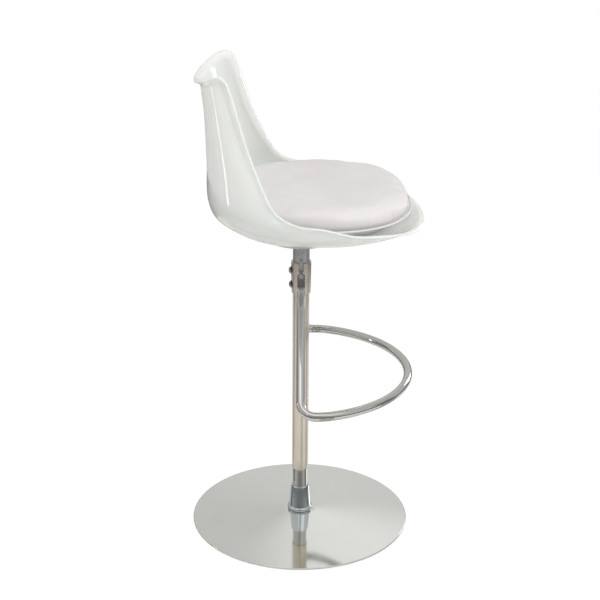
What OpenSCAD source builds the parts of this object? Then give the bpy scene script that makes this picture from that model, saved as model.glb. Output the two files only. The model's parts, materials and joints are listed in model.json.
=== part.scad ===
// Adjustable swivel stool: a moulded bucket seat on a gas-lift column with a bent
// footrest and a weighted round base. Millimetres, +Z up, origin on the floor under
// the column's axis, sitter facing -Y.

/* [Base] */
// Diameter of the base
base_d = 410; // [380:2:460]
// Height of the base's rolled rim
base_rim_h = 3.5; // [3:0.5:5]
// Rise of the base from its rim to the collar
base_rise = 12; // [10:0.5:16]
// Thickness of the spun base cover
base_wall = 1.8; // [1.4:0.1:2.4]
// Thickness of the pad under the base
pad_t = 1.5; // [1:0.5:2.5]
// Outer diameter of the ballast disc
ballast_d = 300; // [240:5:340]

/* [Collar] */
// Height of the collar's top above the floor
collar_top_z = 69; // [62:1:90]
// Diameter at the collar's top
collar_top_d = 33; // [32:0.5:36]
// Diameter at the collar's foot
collar_foot_d = 41; // [38:0.5:46]
// Diameter of the bead round the collar's foot
collar_bead_d = 47; // [45:0.5:54]
// Diameter of the bolt that holds the collar
base_bolt_d = 12; // [10:1:14]

/* [Column] */
// Diameter of the gas cylinder
cylinder_d = 28; // [27:0.5:28.5]
// Wall of the gas cylinder
cylinder_wall = 2; // [1.5:0.25:2.5]
// Height of the gas cylinder's top end
cylinder_top_z = 440; // [420:5:450]
// Diameter of the piston rod
rod_d = 10; // [9:0.5:12]
// Outer diameter of the sliding tube
tube_d = 30.5; // [30:0.25:32]
// Wall of the sliding tube
tube_wall = 0.8; // [0.6:0.05:0.85]
// Height of the sliding tube's lower end with the seat down
tube_low_z = 105; // [90:1:120]
// Stroke of the gas lift
lift_stroke = 200; // [150:5:210]

/* [Clamp sleeve] */
// Height of the sleeve's lower end
sleeve_low_z = 461; // [450:1:465]
// Length of the sleeve
sleeve_len = 59; // [56:1:66]
// Diameter of the sleeve's upper end
sleeve_top_d = 36.5; // [36:0.25:40]
// Diameter of the sleeve's lower end
sleeve_low_d = 35; // [34.5:0.25:36]
// Height of the lower rear bolt above the sleeve's lower end
bolt_low_h = 14.5; // [13:0.5:16]
// Distance between the two rear bolts
bolt_gap = 27; // [24:1:30]
// Diameter of the rear bolts
bolt_d = 6; // [5:0.5:6.5]
// Width of the notch in the sleeve's upper edge
notch_w = 9; // [7:0.5:10]
// Depth of the notch in the sleeve's upper edge
notch_h = 17; // [12:0.5:18]

/* [Footrest] */
// Diameter of the footrest bar
bar_d = 16; // [14:0.5:18]
// Height of the footrest loop's centre line
loop_z = 306; // [280:2:330]
// Half width of the loop at its centre line
loop_half_w = 205; // [190:1:220]
// Reach of the loop in front of the column
loop_reach = 199; // [190:1:215]
// Bend radius between a leg and the loop
corner_r = 26; // [24:1:34]
// Turn of each side arc of the loop
side_turn = 20; // [14:1:36]
// Thickness of the bar's flattened ends
tongue_t = 5; // [4:0.5:6]
// Width of the bar's flattened ends
tongue_w = 14; // [12:0.5:16]
// Height of the footrest screws above the sleeve's lower end
rest_screw_h = 37.5; // [34:0.5:38]
// Diameter of the footrest screws
rest_screw_d = 5; // [4:0.5:6]

/* [Seat support] */
// Diameter of the seat's socket tube
socket_d = 30; // [29:0.25:30.5]
// Wall of the seat's socket tube
socket_wall = 3; // [2.5:0.25:4]
// Length of the socket tube that shows between the sleeve and the seat plate
socket_show = 43; // [41:1:48]
// Diameter of the seat plate
plate_d = 124; // [116:2:140]
// Thickness of the seat plate
plate_t = 3; // [2.5:0.5:4]
// Distance of the plate screws from the plate's edge
screw_inset = 10; // [9:0.5:14]
// Diameter of the plate screws
plate_screw_d = 5; // [4:0.5:6]

/* [Release lever] */
// Diameter of the lever's rod
lever_d = 6; // [5:0.5:6.5]
// Distance of the lever's pivot from the axis
pivot_x = 18; // [16:1:22]
// Distance of the lever's bend from the axis
lever_bend_x = 90; // [84:1:100]
// Distance of the lever's outer end from the axis
lever_reach = 172; // [150:2:185]
// Drop of the lever from its bend to its outer end
lever_drop = 14; // [10:1:20]
// Diameter of the lever's grip
grip_d = 13; // [11:0.5:15]

/* [Shell] */
// Overall width of the seat shell at its widest, between the rims
shell_w = 431; // [420:1:440]
// Half width of the backrest's top, between the rims
back_top_half_w = 113; // [106:1:120]
// Reach of the shell's front edge from the axis
shell_front = 210; // [206:1:220]
// Distance of the backrest from the axis
shell_back = 165; // [162:1:172]
// Gap between the seat plate and the pan's underside
pan_gap = 11.5; // [11:0.5:14]
// Height of the backrest's top above the pan, in its middle
back_h = 265.5; // [245:0.5:285]
// Thickness of the shell's wall
shell_wall = 4; // [3:0.25:5]
// Radius of the rolled lip along the seat
lip_r = 4; // [3:0.25:6]
// Radius of the flared lip along the backrest's top
flare_r = 10.5; // [8:0.5:12]
// Turn of the rolled lip
lip_turn = 90; // [60:5:95]
// Height of the rim above the pan at the sides of the seat
side_rim_h = 63.5; // [61:0.5:68]
// Height of the front edge above the pan, in its middle
front_h = 30.5; // [27:0.5:34]

/* [Cushion] */
// Half width of the cushion
cushion_half_w = 188; // [175:1:192]
// Length of the cushion
cushion_len = 330; // [300:2:336]
// Distance of the cushion's middle in front of the axis
cushion_fwd = 30; // [26:1:34]
// Height of the cushion's welt above the pan
welt_h = 55.5; // [54:0.5:61]
// Height of the cushion's crown above its welt
crown_h = 46; // [36:1:52]
// Thickness of the board under the cushion
board_t = 6; // [5:0.5:8]

/* [Hidden] */
$fn = 64;

seat_gap = 0.2;      // between parts that sit on each other without touching
run_gap = 0.05;      // radial, for parts that slide or turn in each other
screw_gap = 0.2;     // radial, round a screw's shank
eps = 0.5;           // how far a cut runs past a face

// base
cover_r = base_d / 2;
cover_low_z = pad_t;
cover_top_z = cover_low_z + base_rim_h + base_rise;
collar_seat_r = 30;                       // flat middle of the cover
rim_round = base_rim_h / 2;
pad_inset = 5;
ballast_low_z = pad_t;
bolt_head_h = 4.5;
washer_t = 2;
head_room = bolt_head_h + washer_t + 1;

// collar
bead_h = 8;
collar_floor_h = 14;                      // the cylinder's seat in the collar, above the cover
collar_floor_z = cover_top_z + collar_floor_h;

// cylinder, rod and piston
cylinder_r = cylinder_d / 2;
bore_r = cylinder_r - cylinder_wall;
cylinder_low_z = collar_floor_z + seat_gap;
cylinder_floor = 6;
gland_len = 16;
piston_len = 14;
rod_r = rod_d / 2;
journal_r = rod_r - 1;
piston_room = 6;                          // left between piston and gland at full stroke
piston_z = cylinder_top_z - gland_len - lift_stroke - piston_len - piston_room;
clip_t = 2;

// sliding tube
tube_r = tube_d / 2;
tube_bore_r = tube_r - tube_wall;
liner_len = 24;

// sleeve
sleeve_top_z = sleeve_low_z + sleeve_len;
tube_top_z = sleeve_low_z + sleeve_len / 2;
bolt_low_z = sleeve_low_z + bolt_low_h;
rest_screw_z = sleeve_low_z + rest_screw_h;
function sleeve_r(z) = (sleeve_low_d + (sleeve_top_d - sleeve_low_d) * (z - sleeve_low_z) / sleeve_len) / 2;
washer_out_t = 1.2;

// socket and rod head
socket_r = socket_d / 2;
socket_bore_r = socket_r - socket_wall;
socket_low_z = tube_top_z + seat_gap;
plate_z = sleeve_top_z + socket_show;
shelf_t = 8;                              // web across the socket that the rod hangs from
shelf_drop = 26;                          // from the plate down to the web's underside
shelf_z = plate_z - shelf_drop;
thread_show = 9;                          // rod above the web, through its nut
rod_top_z = shelf_z + shelf_t + thread_show;
nut_h = 5;
thread_r = 4;
set_screw_r = 3.5;
set_screw_z = sleeve_top_z + 6.5;

// plate and shell bosses
plate_top_z = plate_z + plate_t;
pan_z = plate_top_z + pan_gap;
screw_circle_r = plate_d / 2 - screw_inset;
boss_r = 8;
plate_bore_r = socket_r;

// valve and lever
valve_r = 2;
valve_travel = 2.2;
lever_z = plate_top_z + lever_d / 2 + 1.2;
valve_top_z = lever_z - lever_d / 2 - seat_gap;
valve_len = 24;
lever_pin_r = 2;
ear_t = 2;
ear_gap = 0.4;
lever_swing = 6;
lever_tip_x = -3;
grip_len = 42;
lever_bend_r = 12;
lever_slope = atan(lever_drop / (lever_reach - lever_bend_x));

// footrest: flattened ends on the sleeve, legs in the column's side plane, then a loop
// of three arcs
tongue_x = sleeve_r(rest_screw_z) + seat_gap + tongue_t / 2;
tongue_top_z = rest_screw_z + tongue_w / 2;
neck_r = 22;                              // bend between a flattened end and its leg
neck_h = 17;
neck_z = sleeve_low_z + neck_h;
neck_to_corner = [loop_half_w - tongue_x - neck_r, loop_z - neck_z];
leg_len = sqrt(pow(norm(neck_to_corner), 2) - pow(neck_r, 2));
leg_turn = (360 + atan2(neck_to_corner[1], neck_to_corner[0]) - atan2(-leg_len, -neck_r)) % 360;
leg_dir = [sin(leg_turn), 0, -cos(leg_turn)];
leg_start = [tongue_x + neck_r * (1 - cos(leg_turn)), 0, neck_z - neck_r * sin(leg_turn)];
round_from = 30;                          // along the leg, where the bar is fully round
side_k = (1 - sin(side_turn)) / cos(side_turn);
side_r = (loop_reach - corner_r - loop_half_w * side_k) / (1 - side_k);
front_r = side_r + (loop_half_w - side_r) / cos(side_turn);
front_y = loop_reach - front_r;

// ---- shell surface -------------------------------------------------------------
// Stations from the backrest's top to the front edge. Each one gives the centre line's
// forward place and height, then the rim's forward place, half width and height.
half_w = shell_w / 2;
wing = half_w - back_top_half_w;
back_top_z = pan_z + back_h;
side_rim_z = pan_z + side_rim_h;
front_z = pan_z + front_h;
back_stations = [
  [-shell_back - 10, back_top_z, 30 - shell_back, back_top_half_w, back_top_z + 26],
  [-shell_back - 5, pan_z + 0.82 * back_h,
   62 - shell_back, back_top_half_w + 0.29 * wing, pan_z + 0.71 * back_h],
  [-shell_back - 2, pan_z + 0.513 * back_h,
   93 - shell_back, back_top_half_w + 0.575 * wing, pan_z + 0.462 * back_h],
  [-shell_back, pan_z + 0.244 * back_h,
   118 - shell_back, back_top_half_w + 0.79 * wing, pan_z + 0.323 * back_h],
  [25 - shell_back, pan_z + 0.122 * back_h,
   156 - shell_back, back_top_half_w + 0.915 * wing, side_rim_z + 4],
  [99 - shell_back, pan_z + 0.012 * back_h, 200 - shell_back, back_top_half_w + 0.952 * wing, side_rim_z]
];
// The front runs round a squared circle, and its pan climbs to the front edge
widest_fwd = 35;
plan_n = 2.15;
pan_from = -50;
climb_from = 32;
climb_n = 3.75;
front_turns = [15, 31, 47, 63];
last_turn = front_turns[len(front_turns) - 1];
hip_z = side_rim_z - 8.5;
function front_station(a) =
  let (c = pan_from + (shell_front - pan_from) * pow(sin(a) / sin(last_turn), 0.81),
       climb = pow(max(0, (c - climb_from) / (shell_front - climb_from)), climb_n))
  [c, pan_z + front_h * climb,
   widest_fwd + (shell_front - widest_fwd) * pow(sin(a), 2 / plan_n),
   half_w * pow(cos(a), 2 / plan_n), front_z + (hip_z - front_z) * pow(cos(a), 2.5)];
// One more station past the front edge gives the surface its direction there
stations = concat(back_stations, [for (a = front_turns) front_station(a)],
                  [front_station(last_turn + 16)]);
section_n = 2.1;      // 2 is an ellipse, more is squarer
flat_from = 0.5;      // where the cross sections start to flatten towards the front
flat_len = 0.45;
corner_u = 0.03;      // how far down the wings the top corners are rounded
corner_n = 7;         // and how squarely
rows = 36;            // along the centre line
cols = 32;            // across
curl_rows = 4;        // round the lip

// Curve through the stations
function spline(p, t) =
  let (last = len(p) - 2, s = t * last, i = min(floor(s), last - 1), f = s - i,
       b = p[i], c = p[i + 1], a = i > 0 ? p[i - 1] : 2 * b - c, d = p[i + 2])
  0.5 * (2 * b + (c - a) * f + (2 * a - 5 * b + 4 * c - d) * pow(f, 2)
         + (3 * b - a - 3 * c + d) * pow(f, 3));

function blend(x) = let (c = max(0, min(1, x))) c * c * (3 - 2 * c);

// How far up its section a point is, from how far out it is
function section_up(u, out) =
  let (k = blend((u - flat_from) / flat_len))
  (1 - k) * (1 - pow(max(0, 1 - pow(out, section_n)), 1 / section_n)) + k * pow(out, 2);

// Outer face of the shell: u runs from the top to the front, v from side to side
function face(u, v) =
  let (s = spline(stations, u), out = pow(sin(abs(v) * 90), 2 / section_n),
       up = section_up(u, out))
  [sign(v) * s[3] * out, -(s[0] + (s[2] - s[0]) * up), s[1] + (s[4] - s[1]) * up];

function grid_v(j) = -1 + 2 * j / cols;
function corner(v) = corner_u * (1 - pow(1 - pow(abs(v), corner_n), 1 / corner_n));
function grid_u(i, v) = corner(v) + (1 - corner(v)) * i / rows;
function at(i, j) = face(grid_u(i, grid_v(j)), grid_v(j));
function unit(a) = a / norm(a);

// Direction towards the sitter, square to the face; the boundary takes its neighbour's
function inward(i, j) =
  let (a = max(1, min(rows - 1, i)), b = max(1, min(cols - 1, j)))
  unit(cross(at(a + 1, b) - at(a - 1, b), at(a, b + 1) - at(a, b - 1)));

// Boundary loop of grid places: along the top, down one wing, along the front, up the other
loop_len = 2 * (rows + cols);
function edge(k) =
  let (m = (k + loop_len) % loop_len)
  m < cols ? [0, m] :
  m < cols + rows ? [m - cols, cols] :
  m < 2 * cols + rows ? [rows, 2 * cols + rows - m] : [loop_len - m, 0];
function edge_at(k) = let (e = edge(k)) at(e[0], e[1]);
function edge_in(k) = let (e = edge(k)) inward(e[0], e[1]);
function edge_out(k) = unit(cross(edge_in(k), edge_at(k + 1) - edge_at(k - 1)));
function curl_r(z) =
  lip_r + (flare_r - lip_r) * blend((z - side_rim_z) / (back_top_z - 20 - side_rim_z));

// Point on the lip: step 0 is the boundary itself, curl_rows is the lip's end
function curl_point(k, step, lift) =
  let (p = edge_at(k), n = edge_in(k), o = edge_out(k), r = curl_r(p[2]),
       turn = lip_turn * step / curl_rows)
  p - n * r + (r + lift) * (n * cos(turn) + o * sin(turn));

function skin(lift) = [for (i = [0:rows]) for (j = [0:cols]) at(i, j) + lift * inward(i, j)];
function lip(lift) = [for (s = [1:curl_rows]) for (k = [0:loop_len - 1]) curl_point(k, s, lift)];

skin_count = (rows + 1) * (cols + 1);
side_count = skin_count + curl_rows * loop_len;
function grid_id(e) = e[0] * (cols + 1) + e[1];
function lip_id(s, k) =
  s == 0 ? grid_id(edge(k)) : skin_count + (s - 1) * loop_len + (k + loop_len) % loop_len;
function quad(a, b, c, d, flip) = flip ? [[a, c, b], [a, d, c]] : [[a, b, c], [a, c, d]];
function side_faces(base, flip) = concat(
  [for (i = [0:rows - 1]) for (j = [0:cols - 1])
    each quad(base + grid_id([i, j]), base + grid_id([i, j + 1]),
              base + grid_id([i + 1, j + 1]), base + grid_id([i + 1, j]), flip)],
  [for (s = [0:curl_rows - 1]) for (k = [0:loop_len - 1])
    each quad(base + lip_id(s + 1, k), base + lip_id(s + 1, k + 1),
              base + lip_id(s, k + 1), base + lip_id(s, k), flip)]);
function end_faces() = [for (k = [0:loop_len - 1])
  each quad(lip_id(curl_rows, k), lip_id(curl_rows, k + 1),
            side_count + lip_id(curl_rows, k + 1), side_count + lip_id(curl_rows, k), true)];

// Height of the shell's outer face over a place, and its lowest and highest over a disc
function pan_under(x, fwd) =
  let (hits = [for (t = [0.4:0.004:0.98])
         let (s = spline(stations, t), up = section_up(t, abs(x) / s[3]))
         if (s[0] + (s[2] - s[0]) * up <= fwd) s[1] + (s[4] - s[1]) * up])
  hits[len(hits) - 1];
function pan_low(x, fwd, r) = min([for (a = [0:45:315]) pan_under(x + r * cos(a), fwd + r * sin(a))]);
function pan_high(x, fwd, r) = max([for (a = [0:45:315]) pan_under(x + r * cos(a), fwd + r * sin(a))]);

// ---- cushion ---------------------------------------------------------------------
cushion_n = 2.3;
welt_z = pan_z + welt_h;
cushion_steps = 48;
board_share = 0.5;
board_z = pan_under(cushion_half_w * board_share, cushion_fwd) + shell_wall + 2;
board_top_z = board_z + board_t;
// share of the plan outline and height of each ring, bottom to top
cushion_rings = [
  [0.6, board_top_z + seat_gap], [0.84, welt_z - 20], [0.97, welt_z - 7], [1, welt_z],
  [0.975, welt_z + 0.3 * crown_h], [0.87, welt_z + 0.64 * crown_h],
  [0.66, welt_z + 0.87 * crown_h], [0.36, welt_z + crown_h]
];
function plan(share, a) =
  let (c = cos(a), s = sin(a))
  [share * cushion_half_w * sign(c) * pow(abs(c), 2 / cushion_n),
   -cushion_fwd - share * cushion_len / 2 * sign(s) * pow(abs(s), 2 / cushion_n)];
function plan_ring(share) = [for (i = [0:cushion_steps - 1]) plan(share, -360 * i / cushion_steps)];

// ---- base ------------------------------------------------------------------------
module floor_pad() {
  color("dimgray") cylinder(h = pad_t, r = cover_r - pad_inset);
}

module cover_outline() {
  difference() {
    union() {
      polygon([[0, cover_low_z], [cover_r - rim_round, cover_low_z],
               [cover_r - rim_round, cover_low_z + base_rim_h],
               [collar_seat_r, cover_top_z], [0, cover_top_z]]);
      translate([cover_r - rim_round, cover_low_z + rim_round]) circle(r = rim_round);
    }
    polygon([[-eps, cover_low_z - eps], [cover_r - base_rim_h - base_wall, cover_low_z - eps],
             [cover_r - base_rim_h - base_wall, cover_low_z + base_rim_h - base_wall],
             [collar_seat_r, cover_top_z - base_wall], [-eps, cover_top_z - base_wall]]);
    translate([-eps, -eps]) square([base_bolt_d / 2 + screw_gap + eps, cover_top_z + 2 * eps]);
  }
}

module base_cover() {
  color("silver") rotate_extrude($fn = 128) intersection() {
    cover_outline();
    square([cover_r + eps, cover_top_z + eps]);
  }
}

module ballast() {
  slope = base_rise / (cover_r - rim_round - collar_seat_r);
  top_z = cover_top_z - base_wall - seat_gap;
  edge_z = top_z - slope * (ballast_d / 2 - collar_seat_r);
  pocket_r = 15;                          // for the bolt's head and washer
  color("dimgray") rotate_extrude($fn = 96) polygon([
    [base_bolt_d / 2 + screw_gap, ballast_low_z + head_room], [pocket_r, ballast_low_z + head_room],
    [pocket_r, ballast_low_z], [ballast_d / 2, ballast_low_z], [ballast_d / 2, edge_z],
    [collar_seat_r, top_z], [base_bolt_d / 2 + screw_gap, top_z]]);
}

module base_washer() {
  color("silver") translate([0, 0, ballast_low_z + head_room - washer_t]) difference() {
    cylinder(h = washer_t, d = 2 * base_bolt_d + 2);
    translate([0, 0, -eps]) cylinder(h = washer_t + 2 * eps, d = base_bolt_d + 2 * screw_gap);
  }
}

module base_bolt() {
  top = ballast_low_z + head_room - washer_t;
  color("silver") {
    translate([0, 0, top - bolt_head_h]) cylinder(h = bolt_head_h, d = 1.65 * base_bolt_d, $fn = 6);
    translate([0, 0, top - eps]) cylinder(h = collar_floor_z - 3 - top + eps, d = base_bolt_d);
  }
}

module collar() {
  shank_z = cover_top_z + bead_h;
  color("lightslategray") difference() {
    union() {
      rotate_extrude() {
        translate([0, cover_top_z]) square([collar_bead_d / 2 - bead_h / 2, bead_h]);
        translate([collar_bead_d / 2 - bead_h / 2, cover_top_z + bead_h / 2]) circle(r = bead_h / 2);
        polygon([[0, shank_z - eps], [collar_foot_d / 2, shank_z - eps], [collar_foot_d / 2, shank_z],
                 [collar_top_d / 2 + 1, collar_top_z - 2], [collar_top_d / 2, collar_top_z],
                 [0, collar_top_z]]);
      }
    }
    translate([0, 0, collar_floor_z]) cylinder(h = collar_top_z, r = cylinder_r + seat_gap);
    translate([0, 0, cover_top_z - eps])
      cylinder(h = collar_floor_z, r = base_bolt_d / 2 + run_gap);
  }
}

// ---- gas lift ----------------------------------------------------------------------
module gas_cylinder() {
  color("gainsboro") difference() {
    translate([0, 0, cylinder_low_z]) cylinder(h = cylinder_top_z - cylinder_low_z, r = cylinder_r);
    translate([0, 0, cylinder_low_z + cylinder_floor]) cylinder(h = cylinder_top_z, r = bore_r);
  }
}

module cylinder_gland() {
  color("black") translate([0, 0, cylinder_top_z - gland_len]) difference() {
    cylinder(h = gland_len, r = bore_r - run_gap);
    translate([0, 0, -eps]) cylinder(h = gland_len + 2 * eps, r = rod_r + run_gap);
  }
}

module piston() {
  color("gold") translate([0, 0, piston_z]) difference() {
    cylinder(h = piston_len, r = bore_r - run_gap);
    translate([0, 0, -eps]) cylinder(h = piston_len + 2 * eps, r = journal_r + run_gap);
  }
}

module piston_rod() {
  shoulder_z = piston_z + piston_len + seat_gap;
  color("gainsboro") difference() {
    union() {
      translate([0, 0, piston_z - seat_gap]) cylinder(h = piston_len + 3 * seat_gap, r = journal_r);
      translate([0, 0, shoulder_z]) cylinder(h = shelf_z - shoulder_z, r = rod_r);
      translate([0, 0, shelf_z - eps]) cylinder(h = rod_top_z - shelf_z + eps, r = thread_r);
    }
    translate([0, 0, rod_top_z - valve_len]) cylinder(h = valve_len + eps, r = valve_r + run_gap);
  }
}

module rod_clip() {
  color("dimgray") translate([0, 0, piston_z - seat_gap - clip_t]) cylinder(h = clip_t, r = journal_r + 2);
}

module outer_tube() {
  color("tan") translate([0, 0, tube_low_z]) difference() {
    cylinder(h = tube_top_z - tube_low_z, r = tube_r);
    translate([0, 0, -eps]) cylinder(h = tube_top_z, r = tube_bore_r);
    translate([0, 0, bolt_low_z - tube_low_z]) rotate([-90, 0, 0])
      cylinder(h = tube_d, d = bolt_d + 2 * screw_gap);
  }
}

module guide_liner() {
  color("ivory") translate([0, 0, tube_low_z]) difference() {
    cylinder(h = liner_len, r = tube_bore_r - 0.03);
    translate([0, 0, -eps]) cylinder(h = liner_len + 2 * eps, r = cylinder_r + run_gap);
  }
}

// ---- clamp sleeve --------------------------------------------------------------------
module clamp_sleeve() {
  lip_cut = 1.2;
  lip_depth = 2;
  color("rosybrown") difference() {
    translate([0, 0, sleeve_low_z]) cylinder(h = sleeve_len, d1 = sleeve_low_d, d2 = sleeve_top_d);
    translate([0, 0, sleeve_low_z - eps])
      cylinder(h = tube_top_z - sleeve_low_z + eps, r = tube_r + seat_gap);
    translate([0, 0, tube_top_z - eps]) cylinder(h = sleeve_len, r = socket_r + seat_gap);
    translate([0, 0, sleeve_top_z - lip_depth]) cylinder(h = lip_depth + eps, r = socket_r + lip_cut);
    translate([0, 0, sleeve_top_z - notch_h + notch_w / 2]) {
      rotate([0, -90, 0]) cylinder(h = sleeve_top_d, d = notch_w);
      translate([-sleeve_top_d, -notch_w / 2, 0]) cube([sleeve_top_d, notch_w, notch_h]);
    }
    for (z = [bolt_low_z, bolt_low_z + bolt_gap])
      translate([0, 0, z]) rotate([-90, 0, 0]) cylinder(h = sleeve_top_d, d = bolt_d + 2 * screw_gap);
    translate([0, 0, rest_screw_z]) rotate([0, 90, 0])
      cylinder(h = 2 * sleeve_top_d, d = rest_screw_d + 2 * screw_gap, center = true);
  }
}

module sleeve_washers() {
  color("dimgray") for (z = [bolt_low_z, bolt_low_z + bolt_gap])
    translate([0, sleeve_r(z) + seat_gap, z]) rotate([-90, 0, 0]) difference() {
      cylinder(h = washer_out_t, d = 2.4 * bolt_d);
      translate([0, 0, -eps]) cylinder(h = washer_out_t + 2 * eps, d = bolt_d + 2 * screw_gap);
    }
}

module sleeve_bolts() {
  head_h = 3.2;
  color("silver") for (z = [bolt_low_z, bolt_low_z + bolt_gap])
    translate([0, sleeve_r(z) + seat_gap + washer_out_t, z]) rotate([-90, 0, 0]) difference() {
      union() {
        cylinder(h = head_h - 0.8, d = 1.7 * bolt_d);
        translate([0, 0, head_h - 0.8]) cylinder(h = 0.8, d1 = 1.7 * bolt_d, d2 = 1.1 * bolt_d);
        translate([0, 0, -5.5]) cylinder(h = 6, d = bolt_d);
      }
      translate([0, 0, head_h - 1.4]) cylinder(h = 2, d = 0.6 * bolt_d, $fn = 6);
    }
}

// ---- footrest --------------------------------------------------------------------------
// A station of a bent bar: place, direction, the section's width direction, and how
// flat the section is there, from 1 at the tongue to 0 where the bar is round
side_axis = [0, 1, 0];
front_axis = [0, -1, 0];
function turned(p, a) = [p[0] * cos(a) + p[1] * sin(a), p[1] * cos(a) - p[0] * sin(a), p[2]];

function tongue_stations() = [for (z = [tongue_top_z, tongue_top_z - 1.5, tongue_top_z - 4.5,
                                        rest_screw_z - tongue_w / 2])
  [[tongue_x, 0, z], [0, 0, -1], side_axis, 1]];
function neck_stations() = [for (i = [0:5]) let (a = leg_turn * i / 5)
  [[tongue_x + neck_r * (1 - cos(a)), 0, neck_z - neck_r * sin(a)], [sin(a), 0, -cos(a)], side_axis,
   1 - 0.4 * blend(i / 5)]];
function leg_stations() = [for (d = [round_from / 3, 2 * round_from / 3, round_from])
  [leg_start + d * leg_dir, leg_dir, side_axis, 0.6 * (1 - blend(d / round_from))]];
function corner_stations() =
  let (corner = leg_start + leg_len * leg_dir, mid = corner - corner_r * leg_dir + corner_r * front_axis)
  [for (a = [0:15:90])
    [mid - corner_r * (front_axis * cos(a) - leg_dir * sin(a)),
     leg_dir * cos(a) + front_axis * sin(a), leg_dir * sin(a) - front_axis * cos(a), 0]];
function side_stations() = [for (i = [1:6]) let (a = side_turn * i / 6)
  [[loop_half_w - side_r, -corner_r, loop_z] + turned([side_r, 0, 0], a),
   turned(front_axis, a), turned(leg_dir, a), 0]];
function front_stations() = [for (i = [1:5]) let (a = side_turn + (90 - side_turn) * i / 5)
  [[0, -front_y, loop_z] + turned([front_r, 0, 0], a), turned(front_axis, a), turned(leg_dir, a), 0]];

bar_sides = 20;
function power(c, n) = sign(c) * pow(abs(c), 2 / n);
function section(w, t, n, sides) = [for (j = [0:sides - 1]) let (a = 360 * j / sides)
  [w / 2 * power(cos(a), n), t / 2 * power(sin(a), n)]];
function bar_ring(st, w, t, n, sides) =
  [for (p = section(w, t, n, sides)) st[0] + p[0] * st[2] + p[1] * cross(st[1], st[2])];
// closed skin of a swept bar, from its rings
function sweep_faces(count, sides) = concat(
  [for (i = [0:count - 2]) for (j = [0:sides - 1]) let (k = (j + 1) % sides, a = i * sides, b = a + sides)
    each quad(a + j, a + k, b + k, b + j, true)],
  [[for (j = [0:sides - 1]) j]],
  [[for (j = [sides - 1:-1:0]) (count - 1) * sides + j]]);

module footrest() {
  half = concat(tongue_stations(), neck_stations(), leg_stations(), corner_stations(),
                side_stations(), front_stations());
  last = len(half) - 1;
  end_share = [0.5, 0.82, 0.97];
  rings = [for (i = [0:last]) let (f = half[i][3], share = i < 3 ? end_share[i] : 1)
    bar_ring(half[i], share * (bar_d + (tongue_w - bar_d) * f), bar_d + (tongue_t - bar_d) * f,
             2 + 2 * f, bar_sides)];
  far_rings = [for (i = [last - 1:-1:0]) [for (p = rings[i]) [-p[0], p[1], p[2]]]];
  color("silver") difference() {
    polyhedron(points = [for (r = concat(rings, far_rings)) each r],
               faces = sweep_faces(2 * last + 1, bar_sides), convexity = 6);
    translate([0, 0, rest_screw_z]) rotate([0, 90, 0])
      cylinder(h = 2 * sleeve_top_d, d = rest_screw_d + 2 * screw_gap, center = true);
  }
}

module footrest_screws() {
  head_x = sleeve_r(rest_screw_z) + seat_gap + tongue_t + 0.1;
  color("silver") for (m = [0, 1]) mirror([m, 0, 0])
    translate([head_x, 0, rest_screw_z]) rotate([0, 90, 0]) difference() {
      union() {
        cylinder(h = 1.8, d = 1.7 * rest_screw_d);
        translate([0, 0, 1.8]) cylinder(h = 0.8, d1 = 1.7 * rest_screw_d, d2 = 1.1 * rest_screw_d);
        translate([0, 0, -tongue_t - 3]) cylinder(h = tongue_t + 3.2, d = rest_screw_d);
      }
      translate([0, 0, 1.2]) cylinder(h = 2, d = 0.6 * rest_screw_d, $fn = 6);
    }
}

// ---- seat support -------------------------------------------------------------------------
module seat_socket() {
  color("slategray") difference() {
    translate([0, 0, socket_low_z]) cylinder(h = plate_top_z - socket_low_z, r = socket_r);
    translate([0, 0, socket_low_z - eps]) cylinder(h = shelf_z - socket_low_z + eps, r = socket_bore_r);
    translate([0, 0, shelf_z - eps]) cylinder(h = shelf_t + 2 * eps, r = thread_r + run_gap);
    translate([0, 0, shelf_z + shelf_t]) cylinder(h = plate_z, r = socket_bore_r);
    translate([0, 0, bolt_low_z + bolt_gap]) rotate([-90, 0, 0])
      cylinder(h = socket_d, d = bolt_d + 2 * screw_gap);
    for (m = [0, 1]) mirror([m, 0, 0]) translate([0, 0, rest_screw_z]) rotate([0, 90, 0])
      cylinder(h = socket_d, d = rest_screw_d + 2 * screw_gap);
    translate([0, 0, set_screw_z]) rotate([0, -90, 0]) cylinder(h = socket_d, r = set_screw_r + run_gap);
  }
}

module socket_set_screw() {
  color("dimgray") translate([-socket_r, 0, set_screw_z]) rotate([0, 90, 0]) difference() {
    translate([0, 0, 0.3]) cylinder(h = socket_wall - 0.6, r = set_screw_r);
    cylinder(h = 1.6, r = 0.55 * set_screw_r, $fn = 6);
  }
}

module rod_nut() {
  color("silver") translate([0, 0, shelf_z + shelf_t]) difference() {
    cylinder(h = nut_h, r = 2 * thread_r, $fn = 6);
    translate([0, 0, -eps]) cylinder(h = nut_h + 2 * eps, r = thread_r + run_gap);
  }
}

module valve_button() {
  color("orange") translate([0, 0, rod_top_z - valve_len + valve_travel + 1])
    cylinder(h = valve_top_z - rod_top_z + valve_len - valve_travel - 1, r = valve_r);
}

module seat_plate() {
  color("darkgray") difference() {
    translate([0, 0, plate_z]) cylinder(h = plate_t, d = plate_d);
    translate([0, 0, plate_z - eps]) cylinder(h = plate_t + 2 * eps, r = plate_bore_r + run_gap);
    for (a = [45:90:315]) rotate(a) translate([screw_circle_r, 0, plate_z - eps])
      cylinder(h = plate_t + 2 * eps, d = plate_screw_d + 2 * screw_gap);
  }
}

// Top of the boss over the screw at angle a
function boss_top(a) =
  pan_low(screw_circle_r * cos(a), -screw_circle_r * sin(a), boss_r) - seat_gap;

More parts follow.
